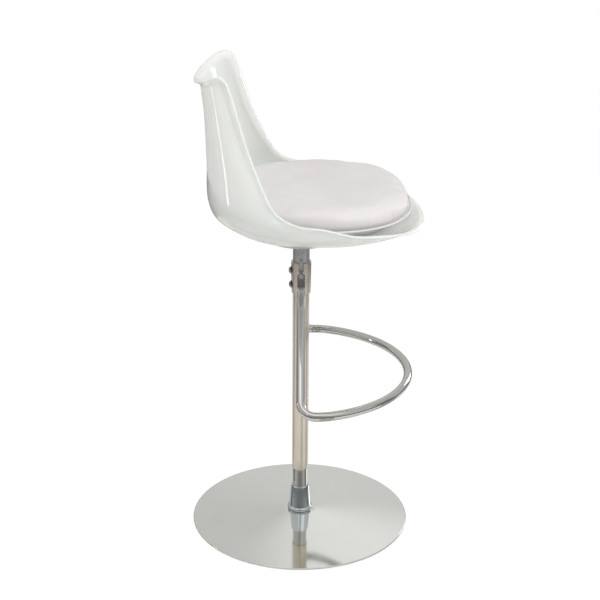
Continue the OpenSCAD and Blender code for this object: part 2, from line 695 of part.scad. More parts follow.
module plate_bosses() {
  color("white") for (a = [45:90:315]) rotate(a) translate([screw_circle_r, 0, plate_top_z]) difference() {
    cylinder(h = boss_top(a) - plate_top_z, r = boss_r);
    translate([0, 0, -eps]) cylinder(h = boss_top(a) - plate_top_z - 1, r = plate_screw_d / 2 + run_gap);
  }
}

module plate_screws() {
  color("silver") for (a = [45:90:315]) rotate(a) translate([screw_circle_r, 0, plate_z]) {
    translate([0, 0, -2.4]) cylinder(h = 2.4, d1 = 1.2 * plate_screw_d, d2 = 1.9 * plate_screw_d);
    translate([0, 0, -eps]) cylinder(h = plate_t + 5 + eps, d = plate_screw_d);
  }
}

// ---- release lever --------------------------------------------------------------------------
module lever_bracket() {
  inner = lever_d / 2 + 1.5 + ear_gap;
  color("darkgray") for (m = [0, 1]) mirror([0, m, 0]) translate([pivot_x - 4, inner, plate_top_z])
    difference() {
      cube([8, ear_t, lever_d + 1.4]);
      translate([4, -eps, lever_z - plate_top_z]) rotate([-90, 0, 0])
        cylinder(h = ear_t + 2 * eps, r = lever_pin_r + run_gap);
    }
}

module lever_pin() {
  half = lever_d / 2 + 1.5 + ear_gap + ear_t;
  color("silver") translate([pivot_x, -half, lever_z]) rotate([-90, 0, 0])
    cylinder(h = 2 * half, r = lever_pin_r);
}

module release_lever() {
  slope_len = (lever_reach - lever_bend_x) / cos(lever_slope);
  bend_run = lever_bend_r * tan(lever_slope / 2);
  sides = 16;
  bend_steps = 4;
  function arm_station(x, z, a) = [[x, 0, z], [cos(a), 0, -sin(a)], side_axis];
  arm = concat(
    [arm_station(lever_tip_x, lever_z, 0)],
    [for (i = [0:bend_steps]) let (a = lever_slope * i / bend_steps)
      arm_station(lever_bend_x - bend_run + lever_bend_r * sin(a),
                  lever_z - lever_bend_r * (1 - cos(a)), a)],
    [arm_station(lever_bend_x + slope_len * cos(lever_slope),
                 lever_z - slope_len * sin(lever_slope), lever_slope)]);
  color("silver") difference() {
    union() {
      polyhedron(points = [for (st = arm) each bar_ring(st, lever_d, lever_d, 2, sides)],
                 faces = sweep_faces(len(arm), sides), convexity = 4);
      translate([pivot_x, 0, lever_z]) rotate([90, 0, 0])
        cylinder(h = lever_d + 3, d = lever_d + 1, center = true);
    }
    translate([pivot_x, 0, lever_z]) rotate([90, 0, 0])
      cylinder(h = 2 * lever_d, r = lever_pin_r + run_gap, center = true);
  }
}

module lever_grip() {
  slope_len = (lever_reach - lever_bend_x) / cos(lever_slope);
  start = slope_len - grip_len + 4;
  color("black") translate([lever_bend_x, 0, lever_z]) rotate([0, 90 + lever_slope, 0])
    rotate_extrude() difference() {
      union() {
        translate([0, start]) square([grip_d / 2 - 1.5, grip_len]);
        translate([0, start + 1.5]) square([grip_d / 2, grip_len - 1.5 - grip_d / 2]);
        translate([grip_d / 2 - 1.5, start + 1.5]) circle(r = 1.5);
        intersection() {
          translate([0, start + grip_len - grip_d / 2]) circle(d = grip_d);
          translate([0, start]) square([grip_d, 2 * grip_len]);
        }
      }
      translate([-eps, start - 2 * eps]) square([lever_d / 2 + run_gap + eps, grip_len - 4 + 2 * eps]);
      translate([-grip_d, start - grip_d]) square([grip_d, 3 * grip_len]);
    }
}

// ---- shell and cushion --------------------------------------------------------------------------
module seat_shell() {
  color("white") polyhedron(
    points = concat(skin(0), lip(0), skin(shell_wall), lip(shell_wall)),
    faces = concat(side_faces(0, false), side_faces(side_count, true), end_faces()),
    convexity = 8);
}

module cushion_board() {
  color("burlywood") translate([0, 0, board_z]) linear_extrude(board_t) polygon(plan_ring(board_share));
}

module cushion_pads() {
  pad_r = 11;
  pad_x = 46;
  pad_fwd = 50;
  color("black") for (x = [-pad_x, pad_x]) for (fwd = [cushion_fwd - pad_fwd, cushion_fwd + pad_fwd])
    let (low = pan_high(x, fwd, pad_r) + shell_wall + 2 * seat_gap)
    translate([x, -fwd, low]) cylinder(h = board_z - low, r = pad_r);
}

module cushion() {
  last = len(cushion_rings) - 1;
  pts = [for (r = cushion_rings) for (p = plan_ring(r[0])) [p[0], p[1], r[1]]];
  walls = [for (r = [0:last - 1]) for (i = [0:cushion_steps - 1])
    let (n = (i + 1) % cushion_steps, a = r * cushion_steps)
    each quad(a + i, a + n, a + cushion_steps + n, a + cushion_steps + i, true)];
  color("whitesmoke") polyhedron(points = pts, faces = concat(walls,
    [[for (i = [0:cushion_steps - 1]) i]],
    [[for (i = [cushion_steps - 1:-1:0]) last * cushion_steps + i]]), convexity = 4);
}

floor_pad();
ballast();
base_cover();
collar();
base_bolt();
base_washer();
gas_cylinder();
cylinder_gland();
piston();
piston_rod();
rod_clip();
outer_tube();
guide_liner();
clamp_sleeve();
sleeve_bolts();
sleeve_washers();
footrest();
footrest_screws();
seat_socket();
socket_set_screw();
rod_nut();
valve_button();
seat_plate();
plate_bosses();
plate_screws();
lever_bracket();
lever_pin();
release_lever();
lever_grip();
seat_shell();
cushion_pads();
cushion_board();
cushion();
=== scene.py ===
"""Adjustable swivel stool: finishes, moulded shell, bent bars, cushion, light and camera."""

import json
import math

import bmesh
import bpy
import numpy as np
from mathutils import Euler, Matrix, Vector


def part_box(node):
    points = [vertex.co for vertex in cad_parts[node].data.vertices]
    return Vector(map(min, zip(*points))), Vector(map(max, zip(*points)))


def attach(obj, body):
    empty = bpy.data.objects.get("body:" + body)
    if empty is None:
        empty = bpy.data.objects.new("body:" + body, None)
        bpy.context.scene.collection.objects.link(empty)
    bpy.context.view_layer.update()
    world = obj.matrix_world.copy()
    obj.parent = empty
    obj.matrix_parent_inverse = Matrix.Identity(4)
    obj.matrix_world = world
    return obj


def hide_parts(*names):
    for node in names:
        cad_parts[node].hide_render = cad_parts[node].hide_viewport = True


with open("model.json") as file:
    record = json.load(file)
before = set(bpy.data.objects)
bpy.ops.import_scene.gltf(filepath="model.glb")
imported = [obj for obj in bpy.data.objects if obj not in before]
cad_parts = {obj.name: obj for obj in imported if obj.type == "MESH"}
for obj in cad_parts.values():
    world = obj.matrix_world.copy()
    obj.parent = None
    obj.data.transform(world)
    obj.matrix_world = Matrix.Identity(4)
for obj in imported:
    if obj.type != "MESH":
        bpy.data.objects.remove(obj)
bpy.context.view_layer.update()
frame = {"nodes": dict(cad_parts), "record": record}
nodes = frame["nodes"]
slot_of = {row["node"]: row["material_slot"] for row in frame["record"]["subparts"]}
scene = bpy.context.scene
scene.view_settings.view_transform = "Standard"


# ---- node helpers -----------------------------------------------------------------
class Nodes:
    """A cleared node tree, and short calls that add nodes to it."""

    def __init__(self, tree):
        self.tree = tree
        tree.nodes.clear()

    def node(self, kind, **props):
        made = self.tree.nodes.new(kind)
        for key, value in props.items():
            setattr(made, key, value)
        return made

    def link(self, a, b):
        self.tree.links.new(a, b)

    def put(self, socket, value):
        """Links the socket to a node's output, or sets the socket's own value."""
        if hasattr(value, "links"):
            self.link(value, socket)
        else:
            socket.default_value = value

    def feed(self, made, values):
        for key, value in values.items():
            self.put(made.inputs[key], value)
        return made

    def maths(self, operation, *values):
        made = self.node("ShaderNodeMath", operation=operation)
        return self.feed(made, dict(enumerate(values))).outputs[0]

    def span(self, value, low, high, frm=0.3, to=0.7, curve="LINEAR"):
        """The value mapped from the range frm..to onto low..high."""
        made = self.node("ShaderNodeMapRange", interpolation_type=curve)
        self.feed(made, {"Value": value, "From Min": frm, "From Max": to,
                         "To Min": low, "To Max": high})
        return made.outputs[0]

    def mix(self, share, first, second):
        made = self.feed(self.node("ShaderNodeMixShader"), {0: share, 1: first, 2: second})
        return made.outputs[0]


class Finish(Nodes):
    """A Principled material, whose textures lie in the object's own coordinates."""

    def __init__(self, name, colour, rough, metallic=0.0, **sockets):
        self.mat = bpy.data.materials.new(name)
        self.mat.use_nodes = True
        self.mat.diffuse_color = (*colour, 1)
        super().__init__(self.mat.node_tree)
        self.out = self.node("ShaderNodeOutputMaterial")
        self.shader = self.node("ShaderNodeBsdfPrincipled")
        self.link(self.shader.outputs[0], self.out.inputs[0])
        self.set("Base Color", (*colour, 1))
        self.set("Roughness", rough)
        self.set("Metallic", metallic)
        for key, value in sockets.items():
            self.set(key.replace("_", " "), value)
        self.place = self.node("ShaderNodeTexCoord").outputs["Object"]

    def set(self, socket, value):
        self.put(self.shader.inputs[socket], value)

    def stretch(self, x, y, z):
        made = self.node("ShaderNodeMapping")
        return self.feed(made, {"Scale": (x, y, z), "Vector": self.place}).outputs[0]

    def noise(self, scale, detail=3.0, rough=0.5, source=None, distortion=0.0):
        made = self.feed(self.node("ShaderNodeTexNoise"), {
            "Vector": source or self.place, "Scale": scale, "Detail": detail,
            "Roughness": rough, "Distortion": distortion})
        return made.outputs["Fac"]

    def cells(self, scale, feature):
        made = self.feed(self.node("ShaderNodeTexVoronoi", feature=feature),
                         {"Vector": self.place, "Scale": scale})
        return made.outputs["Distance"]

    def tint(self, value, dark, light, low=0.3, high=0.7):
        """Colour from dark to light as the value goes from low to high."""
        made = self.node("ShaderNodeValToRGB")
        self.link(value, made.inputs[0])
        for mark, place, colour in zip(made.color_ramp.elements, (low, high), (dark, light)):
            mark.position = place
            mark.color = (*colour, 1)
        self.set("Base Color", made.outputs[0])

    def bump(self, height, strength, distance, under=None):
        values = {"Height": height, "Strength": strength, "Distance": distance}
        if under:
            values["Normal"] = under
        made = self.feed(self.node("ShaderNodeBump"), values)
        self.set("Normal", made.outputs[0])
        return made.outputs[0]

    def from_axis(self):
        """Distance from the column's axis."""
        flat = self.feed(self.node("ShaderNodeVectorMath", operation="MULTIPLY"),
                         {0: self.place, 1: (1, 1, 0)})
        made = self.feed(self.node("ShaderNodeVectorMath", operation="LENGTH"),
                         {0: flat.outputs[0]})
        return made.outputs["Value"]


# ---- finishes -----------------------------------------------------------------------
BANDS_PER_SCALE = 3.2      # bands a metre that a wave texture makes for each unit of scale


def metal(name, colour, low, high, grain=None):
    """Plated or polished metal: cloudy roughness, faint smears, and fine wear or a grain."""
    f = Finish(name, colour, low, 1.0)
    f.set("Roughness", f.span(f.noise(22, 4, 0.6), low, high))
    f.tint(f.noise(9), tuple(c * 0.93 for c in colour), colour)
    if grain:
        f.bump(f.noise(1, 4, 0.7, f.stretch(*grain)), 0.06, 0.0003)
    else:
        f.bump(f.noise(400, 2), 0.02, 0.0003)
    return f


def shell_finish():
    """Moulded gloss plastic: a trace of flow mottling, orange peel and polishing haze."""
    f = Finish("gloss_plastic", (0.84, 0.87, 0.82), 0.1, IOR=1.52, Coat_Weight=0.35,
               Coat_Roughness=0.03, Coat_IOR=1.5, Subsurface_Weight=0.8,
               Subsurface_Scale=0.02, Subsurface_Radius=(1, 1, 0.95))
    f.tint(f.noise(6, 3, 0.55), (0.83, 0.862, 0.81), (0.85, 0.878, 0.83))
    f.set("Roughness", f.span(f.noise(35, 4, 0.6), 0.07, 0.14))
    peel = f.bump(f.noise(260, 2), 0.05, 0.0004)
    f.bump(f.noise(14, 1), 0.06, 0.0012, peel)
    return f


def leather_finish():
    """Soft white leatherette: pebbled grain, fine creases and slight colour drift."""
    f = Finish("leatherette", (0.75, 0.725, 0.73), 0.5, IOR=1.45, Sheen_Weight=0.12,
               Sheen_Roughness=0.4)
    f.tint(f.noise(11, 4, 0.6), (0.725, 0.70, 0.705), (0.78, 0.755, 0.76))
    f.set("Roughness", f.span(f.noise(60), 0.42, 0.6))
    pebbles = f.cells(1150, "SMOOTH_F1")
    creases = f.noise(480, 5, 0.65, distortion=0.6)
    fine = f.bump(f.maths("MULTIPLY_ADD", creases, 0.6, pebbles), 0.28, 0.00035)
    f.bump(f.noise(38, 3, 0.6), 0.25, 0.0011, fine)
    return f


def woven_finish(name, dark, light, threads_a_metre=1600.0):
    """Plain woven cloth."""
    f = Finish(name, light, 0.85, Sheen_Weight=0.1, Sheen_Roughness=0.6)
    across = f.node("ShaderNodeTexWave", bands_direction="X")
    along = f.node("ShaderNodeTexWave", bands_direction="Y")
    for wave in (across, along):
        f.feed(wave, {"Vector": f.place, "Scale": threads_a_metre / BANDS_PER_SCALE,
                      "Distortion": 0.7, "Detail": 1.0, "Detail Scale": 3.0})
    threads = f.maths("MAXIMUM", across.outputs["Fac"], along.outputs["Fac"])
    f.tint(f.maths("MULTIPLY", threads, f.noise(90)), dark, light, 0.1, 0.6)
    f.bump(threads, 0.35, 0.0003)
    return f


def wood_finish():
    """Birch plywood, with its grain along the seat."""
    f = Finish("plywood", (0.55, 0.38, 0.2), 0.62)
    f.tint(f.noise(9, 4, 0.6, f.stretch(14, 1.2, 60), 1.2), (0.44, 0.29, 0.15), (0.66, 0.49, 0.29))
    f.bump(f.noise(60, 4, 0.6, f.stretch(12, 1, 40)), 0.2, 0.0004)
    return f


def grainy(name, dark, light, rough, scale, strength, depth, **sockets):
    """Rubber, cast iron, moulded plastic or powder coat: speckled colour over a fine bump."""
    f = Finish(name, light, rough, **sockets)
    f.tint(f.noise(scale * 0.12, 4, 0.6), dark, light)
    f.set("Roughness", f.span(f.noise(scale * 0.3), rough - 0.06, rough + 0.08))
    f.bump(f.noise(scale, 3, 0.6), strength, depth)
    return f


def spun_finish():
    """Spun and polished cover: fine turning rings, haze and a highlight that fans out."""
    f = Finish("spun_steel", (0.8, 0.81, 0.785), 0.1, 1.0, Anisotropic=0.4)
    rings = f.feed(f.node("ShaderNodeCombineXYZ"), {0: f.from_axis()})
    ridge = f.noise(900, 4, 0.75, rings.outputs[0])
    haze = f.noise(7, 4, 0.6)
    f.set("Roughness", f.maths("ADD", f.span(ridge, 0.0, 0.02), f.span(haze, 0.05, 0.09)))
    cloud = f.maths("MULTIPLY_ADD", ridge, 0.35, f.maths("MULTIPLY", haze, 0.65))
    f.tint(cloud, (0.76, 0.77, 0.745), (0.84, 0.85, 0.825))
    f.bump(ridge, 0.03, 0.0002)
    f.set("Tangent", f.node("ShaderNodeTangent", direction_type="RADIAL", axis="Z").outputs[0])
    return f


finishes = {
    "pad": grainy("rubber", (0.02, 0.02, 0.02), (0.045, 0.045, 0.045), 0.8, 900, 0.4, 0.0004),
    "cast": grainy("cast_iron", (0.03, 0.03, 0.032), (0.08, 0.078, 0.075), 0.7, 420, 0.6, 0.0008),
    "base": spun_finish(),
    "collar": metal("turned_aluminium", (0.76, 0.80, 0.83), 0.1, 0.2, (3, 3, 1500)),
    "steel": metal("zinc_plate", (0.5, 0.5, 0.49), 0.22, 0.38),
    "chrome": metal("chrome", (0.64, 0.63, 0.61), 0.035, 0.09),
    "nickel": metal("satin_nickel", (0.76, 0.685, 0.585), 0.18, 0.28, (900, 900, 6)),
    "socket": metal("satin_aluminium", (0.66, 0.665, 0.66), 0.25, 0.36, (500, 500, 20)),
    "plate": grainy("powder_coat", (0.5, 0.51, 0.5), (0.58, 0.59, 0.58), 0.4, 1300, 0.3, 0.0003),
    "brass": metal("brass", (0.66, 0.47, 0.2), 0.18, 0.3, (3, 3, 1200)),
    "liner": grainy("nylon", (0.68, 0.67, 0.6), (0.76, 0.75, 0.68), 0.4, 700, 0.15, 0.0003,
                    Subsurface_Weight=0.1, Subsurface_Scale=0.003),
    "black": grainy("black_moulding", (0.012, 0.012, 0.012), (0.03, 0.03, 0.03), 0.42, 1500,
                    0.35, 0.0003),
    "shell": shell_finish(),
    "fleece": woven_finish("hook_pad", (0.015, 0.015, 0.015), (0.06, 0.06, 0.06), 2600.0),
    "board": wood_finish(),
    "leather": leather_finish(),
}
lining = woven_finish("lining", (0.72, 0.72, 0.725), (0.82, 0.82, 0.82))

for name, node in nodes.items():
    mat = finishes[slot_of[name]].mat
    if not node.material_slots:
        node.data.materials.append(mat)
    for place in node.material_slots:
        place.material = mat


# ---- mesh helpers -------------------------------------------------------------------
CREASE = math.radians(35)  # edges sharper than this stay crisp on the bent bars


def smooth(x):
    """0 to 1, with no slope at either end."""
    c = np.clip(x, 0, 1)
    return c * c * (3 - 2 * c)


def unit(a):
    return a / np.linalg.norm(a, axis=-1, keepdims=True)


def make_mesh(name, points, faces):
    mesh = bpy.data.meshes.new(name)
    mesh.from_pydata([tuple(p) for p in points], [], faces)
    mesh.validate()
    work = bmesh.new()
    work.from_mesh(mesh)
    bmesh.ops.recalc_face_normals(work, faces=work.faces)
    work.to_mesh(mesh)
    work.free()
    mesh.polygons.foreach_set("use_smooth", [True] * len(mesh.polygons))
    mesh.update()
    made = bpy.data.objects.new(name, mesh)
    scene.collection.objects.link(made)
    return made


def applied(piece):
    """Puts the piece's modifiers into its mesh."""
    made = bpy.data.meshes.new_from_object(
        piece.evaluated_get(bpy.context.evaluated_depsgraph_get()))
    piece.modifiers.clear()
    piece.data = made
    made.polygons.foreach_set("use_smooth", [True] * len(made.polygons))


def combine(piece, other, operation):
    made = piece.modifiers.new(operation, "BOOLEAN")
    made.operation = operation
    made.solver = "EXACT"
    made.object = other
    applied(piece)
    bpy.data.objects.remove(other)


def sweep(name, rings):
    """Closed solid through rings of points, with flat ends."""
    sides, count = len(rings[0]), len(rings)
    faces = [[i * sides + j, i * sides + (j + 1) % sides, (i + 1) * sides + (j + 1) % sides,
              (i + 1) * sides + j] for i in range(count - 1) for j in range(sides)]
    faces += [list(range(sides)), [(count - 1) * sides + j for j in range(sides)]]
    return make_mesh(name, np.concatenate(rings), faces)


def cylinder_along(name, centre, axis, radius, length, sides=32):
    """Closed cylinder for cutting or joining, along x or y."""
    rings = []
    for end in (-0.5, 0.5):
        a = np.arange(sides) * 2 * np.pi / sides
        c, s, flat = radius * np.cos(a), radius * np.sin(a), np.full(sides, end * length)
        ring = [flat, c, s] if axis == "x" else [c, flat, s]
        rings.append(np.asarray(centre) + np.stack(ring, -1))
    return sweep(name, rings)


# ---- moulded shell ------------------------------------------------------------------
# The same surface as the seat shell's construction, in metres, on a finer grid.
SHELL_W = 0.431            # moulding, without its lip
TOP_HALF_W = 0.113
FRONT = 0.210              # front edge, ahead of the column
BACK = 0.165               # backrest, behind the column
PAN_Z = 0.5775             # lowest place
TOP_Z = 0.843
SIDE_RIM_Z = 0.641
FRONT_Z = 0.608
WALL = 0.004
LIP_R = 0.004              # outer radius of the turned lip along the seat
FLARE_R = 0.0105           # and across the backrest's top
FLARE_END = 0.020          # how far below the top it is reached
LIP_TURN = 90.0            # degrees that the lip turns outwards
WIDEST_FWD = 0.035         # widest place, ahead of the column
HIP_DROP = 0.0085          # front stations' rim below the sides' rim, at the widest place
PLAN_N = 2.15              # plan's exponent: 2 is an ellipse, more is squarer
PAN_FROM = -0.050          # where the front stations start
CLIMB_FROM = 0.032         # where the pan starts to climb to the front edge
CLIMB_N = 3.75             # how late the climb comes
FWD_N = 0.81               # how the front stations spread along the pan
RIM_N = 2.5                # how fast the rim falls towards the front
FRONT_TURNS = (15, 31, 47, 63, 79)  # degrees round the plan; the last is past the edge
EDGE_TURN = 63
SECTION_N = 2.1            # cross section's exponent at the back
FLAT_FROM = 0.5            # where the cross sections start to flatten to a parabola
FLAT_LEN = 0.45
CORNER_U = 0.03            # how far down the wings the top corners are rounded
CORNER_N = 7               # and how squarely
STEP_U, STEP_V = 1 / 36, 1 / 32     # steps between which the face's direction is measured


def shell_stations():
    """Stations down the backrest and along the pan. Each has the centre line's place ahead
    of the column and its height, and the rim's place ahead, half width and height."""
    half, rise, hip_z = SHELL_W / 2, TOP_Z - PAN_Z, SIDE_RIM_Z - HIP_DROP
    wing = half - TOP_HALF_W
    back = [
        [-BACK - 0.010, TOP_Z, 0.030 - BACK, TOP_HALF_W, TOP_Z + 0.026],
        [-BACK - 0.005, PAN_Z + 0.82 * rise, 0.062 - BACK, TOP_HALF_W + 0.29 * wing,
         PAN_Z + 0.71 * rise],
        [-BACK - 0.002, PAN_Z + 0.513 * rise, 0.093 - BACK, TOP_HALF_W + 0.575 * wing,
         PAN_Z + 0.462 * rise],
        [-BACK, PAN_Z + 0.244 * rise, 0.118 - BACK, TOP_HALF_W + 0.79 * wing,
         PAN_Z + 0.323 * rise],
        [0.025 - BACK, PAN_Z + 0.122 * rise, 0.156 - BACK, TOP_HALF_W + 0.915 * wing,
         SIDE_RIM_Z + 0.004],
        [0.099 - BACK, PAN_Z + 0.012 * rise, 0.200 - BACK, TOP_HALF_W + 0.952 * wing, SIDE_RIM_Z],
    ]
    front = []
    for turn in FRONT_TURNS:
        s, c = math.sin(math.radians(turn)), math.cos(math.radians(turn))
        fwd = PAN_FROM + (FRONT - PAN_FROM) * (s / math.sin(math.radians(EDGE_TURN))) ** FWD_N
        climb = max(0, (fwd - CLIMB_FROM) / (FRONT - CLIMB_FROM)) ** CLIMB_N
        front.append([fwd, PAN_Z + (FRONT_Z - PAN_Z) * climb,
                      WIDEST_FWD + (FRONT - WIDEST_FWD) * s ** (2 / PLAN_N),
                      half * c ** (2 / PLAN_N), FRONT_Z + (hip_z - FRONT_Z) * c ** RIM_N])
    return np.array(back + front)


STATIONS = shell_stations()


def spline(t):
    """Curve through the stations, for t from 0 at the top to 1 at the front edge."""
    last = len(STATIONS) - 2
    s = np.asarray(t) * last
    i = np.clip(np.floor(s).astype(int), 0, last - 1)
    f = (s - i)[..., None]
    b, c, d = STATIONS[i], STATIONS[i + 1], STATIONS[i + 2]
    a = np.where((i > 0)[..., None], STATIONS[np.maximum(i - 1, 0)], 2 * b - c)
    return 0.5 * (2 * b + (c - a) * f + (2 * a - 5 * b + 4 * c - d) * f ** 2
                  + (3 * b - a - 3 * c + d) * f ** 3)


def shell_face(along, across):
    """Outer face; along runs 0 to 1 from the top to the front, across 0 to 1 side to side."""
    v = 2 * across - 1
    corner = CORNER_U * (1 - (1 - np.abs(v) ** CORNER_N) ** (1 / CORNER_N))
    u = corner + (1 - corner) * along
    s = spline(u)
    out = np.sin(np.abs(v) * np.pi / 2) ** (2 / SECTION_N)
    k = smooth((u - FLAT_FROM) / FLAT_LEN)
    up = ((1 - k) * (1 - np.maximum(0, 1 - out ** SECTION_N) ** (1 / SECTION_N))
          + k * out ** 2)
    return np.stack([np.sign(v) * s[..., 3] * out, -(s[..., 0] + (s[..., 2] - s[..., 0]) * up),
                     s[..., 1] + (s[..., 4] - s[..., 1]) * up], -1)


def shell_inward(along, across):
    """Direction towards the sitter, square to the face."""
    a, b = np.clip(along, STEP_U, 1 - STEP_U), np.clip(across, STEP_V, 1 - STEP_V)
    du = shell_face(a + STEP_U, b) - shell_face(a - STEP_U, b)
    dv = shell_face(a, b + STEP_V) - shell_face(a, b - STEP_V)
    return unit(np.cross(du, dv))


def build_shell(rows=108, cols=96, curl=8, cap=6):
    """Both faces on a grid, and rings that turn round the lip and over its rounded edge."""
    along, across = np.meshgrid(np.arange(rows + 1) / rows, np.arange(cols + 1) / cols,
                                indexing="ij")
    outer = shell_face(along, across)
    n = shell_inward(along, across)
    inner = outer + WALL * n
    width = cols + 1
    loop = (list(range(cols)) + [m * width + cols for m in range(rows)]
            + [rows * width + cols - m for m in range(cols)]
            + [(rows - m) * width for m in range(rows)])
    size = len(loop)
    edge, normal = outer.reshape(-1, 3)[loop], n.reshape(-1, 3)[loop]
    out = unit(np.cross(normal, np.roll(edge, -1, 0) - np.roll(edge, 1, 0)))
    radius = LIP_R + (FLARE_R - LIP_R) * smooth((edge[:, 2] - SIDE_RIM_Z)
                                                / (TOP_Z - FLARE_END - SIDE_RIM_Z))
    radius = radius[:, None]
    end = math.radians(LIP_TURN) - WALL / 2 / radius

    def curled(turn, lift, past=0.0):
        c, s = np.cos(turn), np.sin(turn)
        return (edge - normal * radius + (radius + lift) * (normal * c + out * s)
                + past * (out * c - normal * s))

    rings = [curled(end * k / curl, 0.0) for k in range(1, curl + 1)]
    for k in range(1, cap):
        a = math.pi * k / cap
        rings.append(curled(end, WALL / 2 * (1 - math.cos(a)), WALL / 2 * math.sin(a)))
    rings += [curled(end * k / curl, WALL) for k in range(curl, 0, -1)]
    count = (rows + 1) * width
    points = np.concatenate([outer.reshape(-1, 3), inner.reshape(-1, 3), *rings])
    faces = []
    for i in range(rows):
        for j in range(cols):
            q = [i * width + j, i * width + j + 1, (i + 1) * width + j + 1, (i + 1) * width + j]
            faces.append(q[::-1])
            faces.append([count + p for p in q])
    start = 2 * count
    ids = [loop] + [[start + r * size + k for k in range(size)] for r in range(len(rings))]
    ids.append([count + p for p in loop])
    for low, high in zip(ids[:-1], ids[1:]):
        for k in range(size):
            m = (k + 1) % size
            faces.append([low[k], low[m], high[m], high[k]])
    return make_mesh("shell_moulding", points, faces)


shell = build_shell()
shell.data.materials.append(finishes["shell"].mat)
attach(shell, "upper")
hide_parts("seat_shell")


# ---- bent bars -------------------------------------------------------------------------
# The footrest and the release lever's rod, on finer stations than their construction. A
# station is a place, the direction ahead, the section's width direction, how flat the
# section is from 0, round, to 1, the tongue, and the share of its full width.
BAR_D = 0.016
TONGUE_T = 0.005
TONGUE_W = 0.014
TONGUE_END = 0.12          # least share of the width at the tongue's rounded end
HEAD_H = 0.0026            # screw heads outside the tongues
HEAD_GAP = 0.0001
SCREW_HOLE_R = 0.0027
NECK_R = 0.022             # bend between a tongue and its leg
NECK_H = 0.017             # where it starts, above the sleeve's lower end
NECK_FLAT = 0.6            # how flat the section still is at the neck's end
ROUND_LEN = 0.030          # length of leg over which the section becomes round
CORNER_R = 0.026           # bend between a leg and the loop
LOOP_HALF_W = 0.205
LOOP_REACH = 0.199
LOOP_Z = 0.306
SIDE_TURN = math.radians(20.0)      # turn of each side arc of the loop
LEVER_D = 0.006
LEVER_BEND_X = 0.090
LEVER_BEND_R = 0.012
LEVER_REACH = 0.172
LEVER_DROP = 0.014
LEVER_TIP = 0.0012         # rounding of the inner end
PIN_HOLE_R = 0.00205
BOSS_R = LEVER_D / 2 + 0.0005
BOSS_LEN = LEVER_D + 0.003
SIDE, AHEAD, DOWN = np.array([0, 1.0, 0]), np.array([0, -1.0, 0]), np.array([0, 0, -1.0])


def middle_z(name):
    low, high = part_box(name)
    return (low.z + high.z) / 2


TONGUE_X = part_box("footrest_screws")[1].x - HEAD_H - HEAD_GAP - TONGUE_T / 2
SCREW_Z = middle_z("footrest_screws")


def bar_ring(place, ahead, across, width, thick, n, sides):
    """Superellipse of points square to the bar."""
    a = np.arange(sides) * 2 * np.pi / sides
    over = np.cross(ahead, across)
    u = width / 2 * np.sign(np.cos(a)) * np.abs(np.cos(a)) ** (2 / n)
    v = thick / 2 * np.sign(np.sin(a)) * np.abs(np.sin(a)) ** (2 / n)
    return np.asarray(place, float) + u[:, None] * across + v[:, None] * over


def tongue_stations(steps=8):
    """Down the flattened end, from its rounded top."""
    top_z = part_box("footrest")[1].z
    made = []
    for k in range(steps + 1):
        a = math.pi / 2 * k / steps
        made.append(([TONGUE_X, 0, top_z - TONGUE_W / 2 * (1 - math.cos(a))], DOWN, SIDE, 1.0,
                     max(TONGUE_END, math.sin(a) ** 0.8)))
    made.append(([TONGUE_X, 0, SCREW_Z - TONGUE_W / 2], DOWN, SIDE, 1.0, 1.0))
    return made


def leg_stations(neck_steps=16, round_steps=10, corner_steps=24):
    """The bend at the neck, the straight leg and the corner; also the leg's direction."""
    neck_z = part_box("clamp_sleeve")[0].z + NECK_H
    dx, dz = LOOP_HALF_W - TONGUE_X - NECK_R, LOOP_Z - neck_z
    length = math.sqrt(dx * dx + dz * dz - NECK_R ** 2)
    turn = (math.atan2(dz, dx) - math.atan2(-length, -NECK_R)) % (2 * math.pi)

    def on_neck(a):
        return np.array([TONGUE_X + NECK_R * (1 - math.cos(a)), 0, neck_z - NECK_R * math.sin(a)])

    def down_neck(a):
        return np.array([math.sin(a), 0, -math.cos(a)])

    leg, start = down_neck(turn), on_neck(turn)
    made = []
    for k in range(neck_steps + 1):
        a = turn * k / neck_steps
        flat = 1 - (1 - NECK_FLAT) * smooth(k / neck_steps)
        made.append((on_neck(a), down_neck(a), SIDE, flat, 1.0))
    for k in range(1, round_steps + 1):
        flat = NECK_FLAT * (1 - smooth(k / round_steps))
        made.append((start + ROUND_LEN * k / round_steps * leg, leg, SIDE, flat, 1.0))
    mid = start + length * leg - CORNER_R * leg + CORNER_R * AHEAD
    for k in range(corner_steps + 1):
        a = math.pi / 2 * k / corner_steps
        outward = AHEAD * math.cos(a) - leg * math.sin(a)
        made.append((mid - CORNER_R * outward, leg * math.cos(a) + AHEAD * math.sin(a), -outward,
                     0.0, 1.0))
    return made, leg


def loop_stations(leg, side_steps=16, front_steps=40):
    """Half of the loop: a side arc, and a front arc that meets the other half square."""
    slope = (1 - math.sin(SIDE_TURN)) / math.cos(SIDE_TURN)
    side_r = (LOOP_REACH - CORNER_R - LOOP_HALF_W * slope) / (1 - slope)
    front_r = side_r + (LOOP_HALF_W - side_r) / math.cos(SIDE_TURN)

    def turned(p, a):
        return np.array([p[0] * math.cos(a) + p[1] * math.sin(a),
                         p[1] * math.cos(a) - p[0] * math.sin(a), p[2]])

    def on_arc(centre, radius, a):
        return (np.array(centre) + turned([radius, 0, 0], a), turned(AHEAD, a), turned(leg, a),
                0.0, 1.0)

    made = [on_arc([LOOP_HALF_W - side_r, -CORNER_R, LOOP_Z], side_r, SIDE_TURN * k / side_steps)
            for k in range(1, side_steps + 1)]
    for k in range(1, front_steps + 1):
        a = SIDE_TURN + (math.pi / 2 - SIDE_TURN) * k / front_steps
        made.append(on_arc([0, front_r - LOOP_REACH, LOOP_Z], front_r, a))
    return made


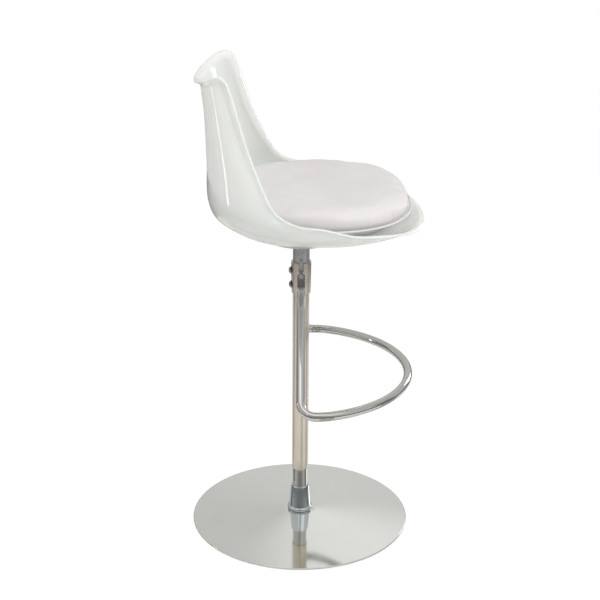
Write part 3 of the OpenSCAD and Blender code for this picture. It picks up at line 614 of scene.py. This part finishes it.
def build_footrest(sides=36):
    """One bar from tongue to tongue: half of it, its mirror image, and the screws' hole."""
    legs, leg = leg_stations()
    rings = []
    for place, ahead, across, flat, share in tongue_stations() + legs + loop_stations(leg):
        rings.append(bar_ring(place, ahead, across, share * (BAR_D + (TONGUE_W - BAR_D) * flat),
                              BAR_D + (TONGUE_T - BAR_D) * flat, 2 + 0.3 * flat, sides))
    rings += [ring * [-1, 1, 1] for ring in rings[-2::-1]]
    piece = sweep("footrest_bar", rings)
    through_both = 4 * TONGUE_X
    hole = cylinder_along("hole", (0, 0, SCREW_Z), "x", SCREW_HOLE_R, through_both)
    combine(piece, hole, "DIFFERENCE")
    piece.data.set_sharp_from_angle(angle=CREASE)
    return piece


footrest = build_footrest()
footrest.data.materials.append(finishes["chrome"].mat)
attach(footrest, "upper")
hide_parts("footrest")


def build_lever(sides=28, tip_steps=5, bend_steps=12):
    """Rod with a rounded tip, a boss and hole for its pin, and a bend down to the grip."""
    pin_low, pin_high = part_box("lever_pin")
    pivot_x, z = (pin_low.x + pin_high.x) / 2, middle_z("lever_pin")
    slope = math.atan(LEVER_DROP / (LEVER_REACH - LEVER_BEND_X))
    run = LEVER_BEND_R * math.tan(slope / 2)
    reach = (LEVER_REACH - LEVER_BEND_X) / math.cos(slope)
    rings = []

    def add(x, height, a, share=1.0):
        rings.append(bar_ring([x, 0, height], np.array([math.cos(a), 0, -math.sin(a)]), SIDE,
                              share * LEVER_D, share * LEVER_D, 2, sides))

    tip_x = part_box("release_lever")[0].x
    for k in range(tip_steps + 1):
        a = math.pi / 2 * k / tip_steps
        add(tip_x + LEVER_TIP * (1 - math.cos(a)), z, 0, 0.6 + 0.4 * math.sin(a))
    for k in range(bend_steps + 1):
        a = slope * k / bend_steps
        add(LEVER_BEND_X - run + LEVER_BEND_R * math.sin(a),
            z - LEVER_BEND_R * (1 - math.cos(a)), a)
    add(LEVER_BEND_X + reach * math.cos(slope), z - reach * math.sin(slope), slope)
    piece = sweep("lever_arm", rings)
    pivot = (pivot_x, 0, z)
    combine(piece, cylinder_along("boss", pivot, "y", BOSS_R, BOSS_LEN), "UNION")
    combine(piece, cylinder_along("hole", pivot, "y", PIN_HOLE_R, 2 * BOSS_LEN), "DIFFERENCE")
    piece.data.set_sharp_from_angle(angle=CREASE)
    return piece


lever = build_lever()
lever.data.materials.append(finishes["chrome"].mat)
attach(lever, "lever")
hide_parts("release_lever")


# ---- cushion -------------------------------------------------------------------------
CUSHION_N = 2.3            # plan's exponent
WELT_Z = 0.633
WELT_R = 0.0019
WELT_INSET = 0.0016        # welt's centre line inside the pad's box
BLANK_INSET = 0.001        # the blank is smaller, because it swells
SWELL_CAP = 0.006          # furthest that the simulation may move a point
HELD_H = 0.003             # the blank is held this high above its lowest face
GATHER_DEPTH = 0.0004
GATHER_UP = 0.010          # gathers are deepest this far above the welt
GATHER_SPREAD = 0.011
SEAM_DIP = 0.0010          # how far the cover dips into the welt
SEAM_HALF = 0.0035         # half height of that dip; the lining starts below it
pad_low, pad_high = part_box("cushion")
pad_mid = (pad_low + pad_high) / 2
pad_half = ((pad_high.x - pad_low.x) / 2, (pad_high.y - pad_low.y) / 2)


def outline(share, count, inset):
    """Loop of points round the cushion's plan, at a share of its size less an inset."""
    a = np.arange(count) * 2 * np.pi / count
    c, s = np.cos(a), np.sin(a)
    return np.stack([
        pad_mid.x + (share * pad_half[0] - inset) * np.sign(c) * np.abs(c) ** (2 / CUSHION_N),
        pad_mid.y + (share * pad_half[1] - inset) * np.sign(s) * np.abs(s) ** (2 / CUSHION_N)], -1)


def cushion_blank(count=96):
    """Sewn blank: a crowned top and a tapering underside that meet at the welt."""
    crown = pad_high.z - WELT_Z
    # each ring's share of the plan and its height, from the underside up
    rings = [(0.56, pad_low.z), (0.72, pad_low.z + 0.006), (0.86, WELT_Z - 0.017),
             (0.955, WELT_Z - 0.006), (0.995, WELT_Z), (0.995, WELT_Z + 0.25 * crown),
             (0.98, WELT_Z + 0.52 * crown), (0.88, WELT_Z + 0.61 * crown),
             (0.62, WELT_Z + 0.59 * crown), (0.30, WELT_Z + 0.58 * crown)]
    points, faces = [], []
    for share, z in rings:
        points += [(x, y, z) for x, y in outline(share, count, BLANK_INSET)]
    for r in range(len(rings) - 1):
        for k in range(count):
            m = (k + 1) % count
            a, b = r * count, (r + 1) * count
            faces.append([a + k, a + m, b + m, b + k])
    faces.append(list(range(count))[::-1])
    top = (len(rings) - 1) * count
    faces.append([top + k for k in range(count)])
    return make_mesh("cushion_cover", points, faces)


def points_of(piece):
    co = np.zeros(len(piece.data.vertices) * 3)
    piece.data.vertices.foreach_get("co", co)
    return co.reshape(-1, 3)


def put_points(piece, points):
    piece.data.vertices.foreach_set("co", np.asarray(points, float).ravel())
    piece.data.update()


def inflate(piece):
    """Swells the blank as cloth under pressure, held where it lies on its board."""
    start = points_of(piece)
    held = piece.vertex_groups.new(name="held")
    held.add([int(i) for i in np.where(start[:, 2] < pad_low.z + HELD_H)[0]], 1.0, "REPLACE")
    cloth = piece.modifiers.new("cloth", "CLOTH")
    cloth.settings.effector_weights.gravity = 0
    cloth.settings.use_pressure = True
    cloth.settings.uniform_pressure_force = 4
    cloth.settings.vertex_group_mass = "held"
    cloth.settings.tension_stiffness = 20
    cloth.settings.bending_stiffness = 6
    cloth.collision_settings.use_collision = False
    for step in range(1, 21):
        scene.frame_set(step)
    applied(piece)
    scene.frame_set(1)
    moved = points_of(piece) - start
    far = np.linalg.norm(moved, axis=1, keepdims=True)
    put_points(piece, start + moved * np.minimum(1, SWELL_CAP / np.maximum(far, 1e-9)))
    eased = piece.modifiers.new("eased", "SMOOTH")
    eased.factor = 0.5
    eased.iterations = 20
    applied(piece)


def gathered(points):
    """The cover's points, drawn in by uneven gathers above the welt and by a dip along it."""
    x, y = (points[:, 0] - pad_mid.x) / pad_half[0], (points[:, 1] - pad_mid.y) / pad_half[1]
    share = (np.abs(x) ** CUSHION_N + np.abs(y) ** CUSHION_N) ** (1 / CUSHION_N)
    turn = np.arctan2(y, x)
    # waves of 46, 71 and 23 gathers round the plan, which together look uneven
    wave = (np.sin(46 * turn + 2.1 * np.sin(5 * turn)) + 0.6 * np.sin(71 * turn + 1.3)
            + 0.5 * np.sin(23 * turn + 3 * np.sin(3 * turn)))
    near = (np.exp(-((points[:, 2] - WELT_Z - GATHER_UP) / GATHER_SPREAD) ** 2)
            * smooth((share - 0.72) / 0.2))
    patch = 0.55 + 0.45 * np.sin(3 * turn + 0.6)
    inward = GATHER_DEPTH * wave * near * patch
    radial = unit(np.stack([points[:, 0] - pad_mid.x, points[:, 1] - pad_mid.y,
                            0 * points[:, 0]], -1) + 1e-9)
    points = points - radial * inward[:, None]
    dip = (SEAM_DIP * np.exp(-((points[:, 2] - WELT_Z) / SEAM_HALF) ** 2)
           * smooth((share - 0.85) / 0.1))
    return points - radial * dip[:, None]


def build_cushion():
    piece = cushion_blank()
    remesh = piece.modifiers.new("remesh", "REMESH")
    remesh.mode = "VOXEL"
    remesh.voxel_size = 0.005
    applied(piece)
    inflate(piece)
    piece.modifiers.new("subdivision", "SUBSURF").levels = 1
    applied(piece)
    put_points(piece, gathered(points_of(piece)))
    piece.data.materials.clear()
    piece.data.materials.append(finishes["leather"].mat)
    piece.data.materials.append(lining.mat)
    below = [int(p.center.z < WELT_Z - SEAM_HALF) for p in piece.data.polygons]
    piece.data.polygons.foreach_set("material_index", below)
    return piece


def tube(name, path, radius, sides=10):
    """Closed tube along a loop of points."""
    path = np.asarray(path)
    ahead = unit(np.roll(path, -1, 0) - np.roll(path, 1, 0))
    side = unit(np.cross(ahead, [0, 0, 1.0]))
    over = np.cross(side, ahead)
    points, faces, count = [], [], len(path)
    for k in range(sides):
        a = 2 * math.pi * k / sides
        points.append(path + radius * (side * math.cos(a) + over * math.sin(a)))
    points = np.concatenate(points)
    for k in range(sides):
        for i in range(count):
            m, j = (k + 1) % sides, (i + 1) % count
            faces.append([k * count + i, k * count + j, m * count + j, m * count + i])
    return make_mesh(name, points, faces)


cushion = build_cushion()
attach(cushion, "upper")
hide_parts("cushion")

ring = outline(1.0, 240, WELT_INSET)
welt = tube("cushion_welt", np.column_stack([ring, np.full(len(ring), WELT_Z)]), WELT_R)
welt.data.materials.append(finishes["leather"].mat)
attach(welt, "upper")


# ---- camera ------------------------------------------------------------------------------
CAMERA_AT = (-2.400, 0.0008, 1.349)
CAMERA_DOWN = 20.68        # degrees below level
CAMERA_ROLL = 0.35

camera = bpy.data.objects.new("camera", bpy.data.cameras.new("camera"))
scene.collection.objects.link(camera)
camera.data.sensor_width = 36
camera.data.lens = 84.33
camera.data.shift_x = -0.001
camera.data.shift_y = 0.0011
camera.data.clip_end = 50
camera.location = CAMERA_AT
aim = Euler((math.radians(90 - CAMERA_DOWN), 0, math.radians(-90))).to_matrix()
roll = Matrix.Rotation(math.radians(CAMERA_ROLL), 3, "Z")
camera.rotation_euler = (aim @ roll).to_euler()
scene.camera = camera


# ---- lamps -------------------------------------------------------------------------------
SEAT = (0, 0, 0.7)
NEAR_WING = (-0.14, 0.12, 0.76)


def panel(name, at, towards, wide, high, power):
    """Area lamp, which the camera doesn't see."""
    light = bpy.data.lights.new(name, "AREA")
    light.shape = "RECTANGLE"
    light.size, light.size_y = wide, high
    light.energy = power
    made = bpy.data.objects.new(name, light)
    scene.collection.objects.link(made)
    made.location = at
    made.rotation_euler = (Vector(towards) - Vector(at)).to_track_quat("-Z", "Y").to_euler()
    made.visible_camera = False
    return made


def glow(at, towards, wide, high, radiance):
    """Small panel of a chosen brightness, for a highlight on the shell."""
    panel("glow", at, towards, wide, high, radiance * math.pi * wide * high)


def wall_light(turn, rise, wide, high, radiance, away=1.2):
    """A glow at a bearing and a rise from the near wing; its size is in degrees too."""
    a, e = math.radians(turn), math.radians(rise)
    at = Vector(NEAR_WING) + away * Vector((math.cos(a) * math.cos(e), math.sin(a) * math.cos(e),
                                            math.sin(e)))
    size = [2 * away * math.tan(math.radians(angle) / 2) for angle in (wide, high)]
    glow(at, NEAR_WING, *size, radiance)


key = panel("key", (-1.8, -1.0, 2.6), SEAT, 1.6, 1.6, 30)
front = panel("front", (-0.4, -2.3, 2.2), SEAT, 1.6, 1.6, 12)
panel("top", (-0.4, 0.2, 2.9), SEAT, 1.6, 1.6, 6)
behind = panel("behind", (-1.0, 2.2, 1.1), (0, 0, 0.75), 1.4, 1.4, 5)
fill = panel("fill", (-2.6, -0.6, 1.3), SEAT, 1.4, 1.4, 1)
for lamp in (key, front, behind, fill):
    lamp.visible_glossy = False    # they would show as clipped patches in the base

wall_light(80, -10, 4, 12, 4.5)
wall_light(62, -13, 10, 9, 0.2)
wall_light(166, 23, 6, 4, 2.6)
glow((1.04, -0.99, 0.66), (0.08, 0.16, 0.85), 0.30, 0.6, 3)


# ---- set ---------------------------------------------------------------------------------
SKIRT_R, SKIRT_H, SKIRT_SHADE = 1.3, 0.34, 0.16
CLOTH_NEAR, CLOTH_FAR, CLOTH_LIFT = 0.23, 1.25, 0.001
FLOOR_HALF = 4
FLOOR_WHITE = 0.9          # share of plain white in what the camera sees; the rest has the shadow
FLOOR_GLOW = 1.06          # strength of that white, so that both shares together come out white


def card(name, points, faces, shade):
    """Grey cloth or card that only reflections see."""
    made = make_mesh(name, points, faces)
    felt = Finish(name, (shade,) * 3, 0.9)
    felt.tint(felt.noise(5), (shade,) * 3, (shade * 1.4,) * 3)
    made.data.materials.append(felt.mat)
    made.visible_camera = made.visible_diffuse = made.visible_shadow = False


def skirt(count=48):
    """Low dark wall round the set."""
    a = np.arange(count) * 2 * np.pi / count
    ring = np.stack([SKIRT_R * np.cos(a), SKIRT_R * np.sin(a)], -1)
    points = [(*p, z) for z in (0.0, SKIRT_H) for p in ring]
    faces = [[k, (k + 1) % count, count + (k + 1) % count, count + k] for k in range(count)]
    card("skirt", points, faces, SKIRT_SHADE)


def sector(start, end, shade, count=12):
    """Cloth on the floor between two bearings, for the upright metal to mirror."""
    a = np.radians(np.linspace(start, end, count))
    points = [(r * math.cos(t), r * math.sin(t), CLOTH_LIFT) for r in (CLOTH_NEAR, CLOTH_FAR)
              for t in a]
    faces = [[k, count + k, count + k + 1, k + 1] for k in range(count - 1)]
    card("sector", points, faces, shade)


skirt()
sector(62, 88, 0.40)
sector(-98, -74, 0.40)
sector(190, 212, 0.45)

corners = [(x * FLOOR_HALF, y * FLOOR_HALF, 0) for x, y in ((-1, -1), (1, -1), (1, 1), (-1, 1))]
floor = make_mesh("floor", corners, [[0, 1, 2, 3]])
ground = Finish("floor", (0.88, 0.88, 0.875), 0.8)
ground.tint(ground.noise(3), (0.87, 0.87, 0.865), (0.89, 0.89, 0.885))
white = ground.feed(ground.node("ShaderNodeEmission"), {"Strength": FLOOR_GLOW})
rays = ground.node("ShaderNodeLightPath").outputs
shown = ground.mix(ground.maths("MULTIPLY", rays["Is Camera Ray"], FLOOR_WHITE),
                   ground.shader.outputs[0], white.outputs[0])
ground.link(shown, ground.out.inputs[0])
floor.data.materials.append(ground.mat)


# ---- world ---------------------------------------------------------------------------------
# The camera sees white and reflections see a grey room, darker on the camera's side; the
# rest of the light is a plain sky.
SKY = 0.55
ROOM_NEAR, ROOM_FAR = 0.31, 0.62
ROOM_FADE = (-0.95, -0.55)          # X of the directions between which the room lightens
# Soft lighter and darker patches: direction, cosine at the patch's edge, gain at its middle.
PATCHES = (((0.80, -0.10, 0.60), 0.982, 0.27), ((0.96, -0.10, 0.27), 0.95, 0.08),
           ((0.25, 0.93, 0.26), 0.95, -0.5), ((0.07, -0.96, 0.26), 0.95, -0.4),
           ((-0.45, -0.39, 0.81), 0.93, 0.45))

scene.world = bpy.data.worlds.new("studio")
scene.world.use_nodes = True
world = Nodes(scene.world.node_tree)


def background(colour, strength):
    """The shader of one plain surrounding."""
    made = world.feed(world.node("ShaderNodeBackground"),
                      {"Color": (*colour, 1), "Strength": strength})
    return made.outputs[0]


def room_level():
    """Brightness of the room in each direction."""
    way = world.node("ShaderNodeTexCoord").outputs["Generated"]
    split = world.feed(world.node("ShaderNodeSeparateXYZ"), {0: way})
    level = world.span(split.outputs["X"], ROOM_NEAR, ROOM_FAR, *ROOM_FADE, "SMOOTHSTEP")
    for towards, edge, gain in PATCHES:
        lean = world.feed(world.node("ShaderNodeVectorMath", operation="DOT_PRODUCT"),
                          {0: way, 1: Vector(towards).normalized()})
        patch = world.span(lean.outputs["Value"], 0.0, gain, edge, 1.0, "SMOOTHSTEP")
        level = world.maths("ADD", level, patch)
    return level


rays = world.node("ShaderNodeLightPath").outputs
lit = world.mix(rays["Is Glossy Ray"], background((1, 1, 0.985), SKY),
                background((1, 1, 0.98), room_level()))
chosen = world.mix(rays["Is Camera Ray"], lit, background((1, 1, 1), 1.0))
world.link(chosen, world.node("ShaderNodeOutputWorld").inputs[0])
